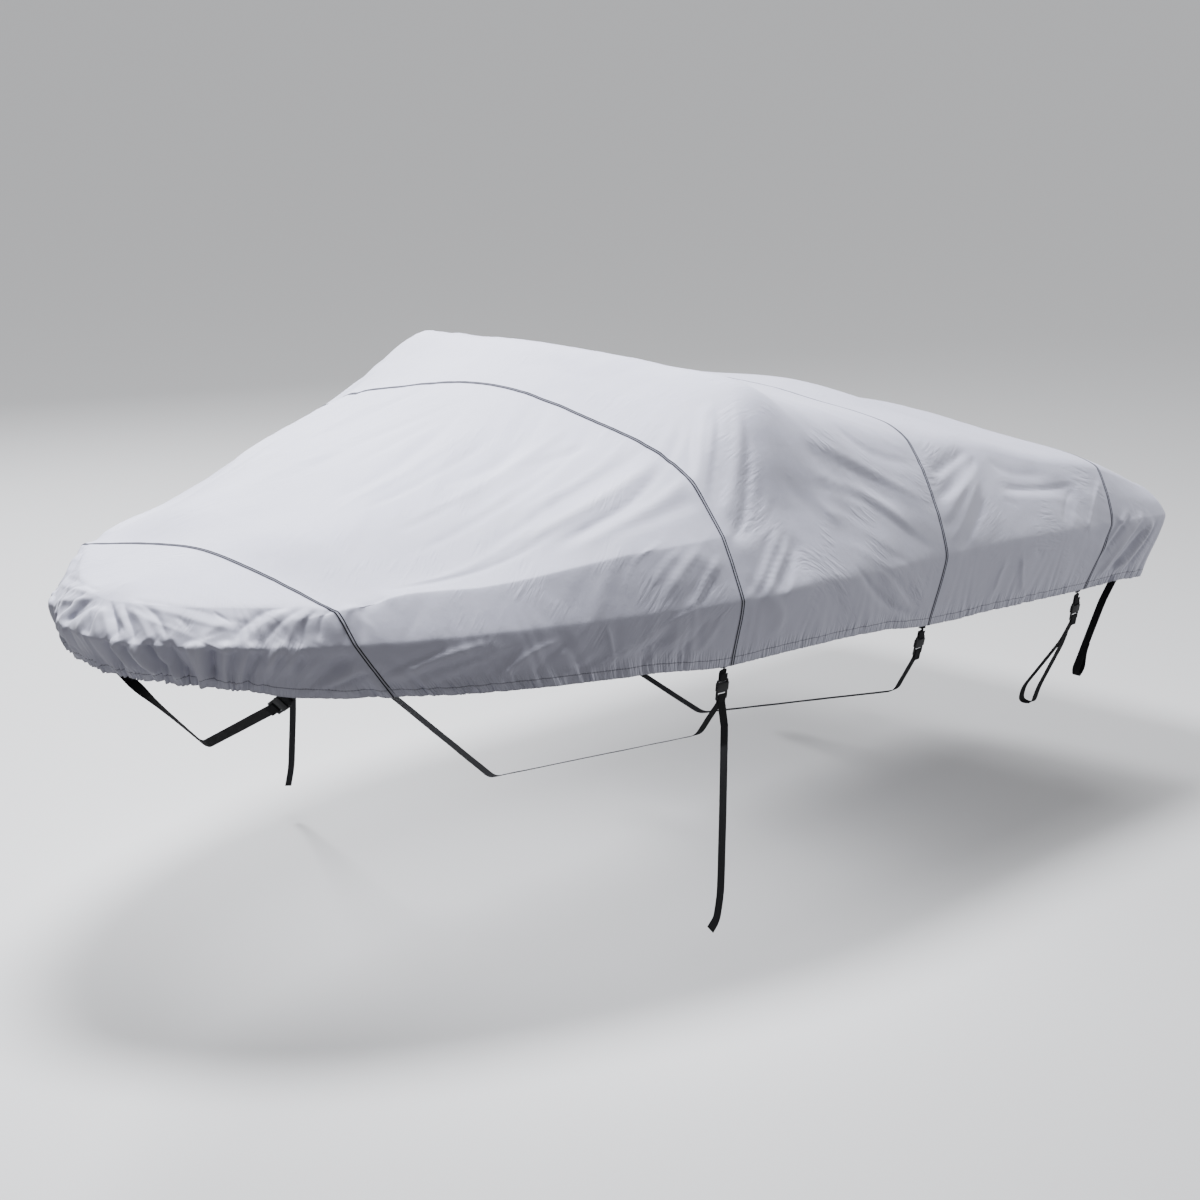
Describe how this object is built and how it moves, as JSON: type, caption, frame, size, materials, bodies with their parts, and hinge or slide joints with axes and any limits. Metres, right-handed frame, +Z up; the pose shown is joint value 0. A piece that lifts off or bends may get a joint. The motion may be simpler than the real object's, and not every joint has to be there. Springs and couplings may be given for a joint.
{
  "type": "boat cover",
  "caption": "Fitted fabric cover for a small open motor boat, sewn from panels, hollow underneath, with webbing straps and side-release buckles below its hem.",
  "frame": {"origin": "underside of the cloth on the centreline, where the top of the windscreen carries the cover", "axes": "-X towards the bow, +X towards the stern, -Y port, +Y starboard, +Z up"},
  "size_m": [5.016, 2.5839, 2.0115],
  "materials": {
    "cover_cloth": "matt woven polyester, silver grey",
    "black_webbing": "matt flat-woven strap",
    "black_plastic": "moulded, satin"
  },
  "bodies": {
    "root": {"bow_panel": "cover_cloth", "foredeck_panel": "cover_cloth", "cockpit_panel": "cover_cloth", "aft_panel": "cover_cloth", "stern_panel": "cover_cloth", "bow_tab": "black_webbing", "bow_belt": "black_webbing", "front_tab_port": "black_webbing", "front_tab_starboard": "black_webbing", "front_belt": "black_webbing", "middle_tab": "black_webbing", "middle_belt": "black_webbing", "aft_tab_port": "black_webbing", "aft_tab_starboard": "black_webbing", "aft_belt_port": "black_webbing", "aft_belt_starboard": "black_webbing", "stern_loop_port": "black_webbing", "stern_loop_starboard": "black_webbing", "bow_socket": "black_plastic", "bow_plug": "black_plastic", "front_socket_port": "black_plastic", "front_plug_port": "black_plastic", "front_socket_starboard": "black_plastic", "front_plug_starboard": "black_plastic", "middle_socket": "black_plastic", "middle_plug": "black_plastic", "aft_socket_port": "black_plastic", "aft_plug_port": "black_plastic", "aft_socket_starboard": "black_plastic", "aft_plug_starboard": "black_plastic"}
  },
  "joints": []
}
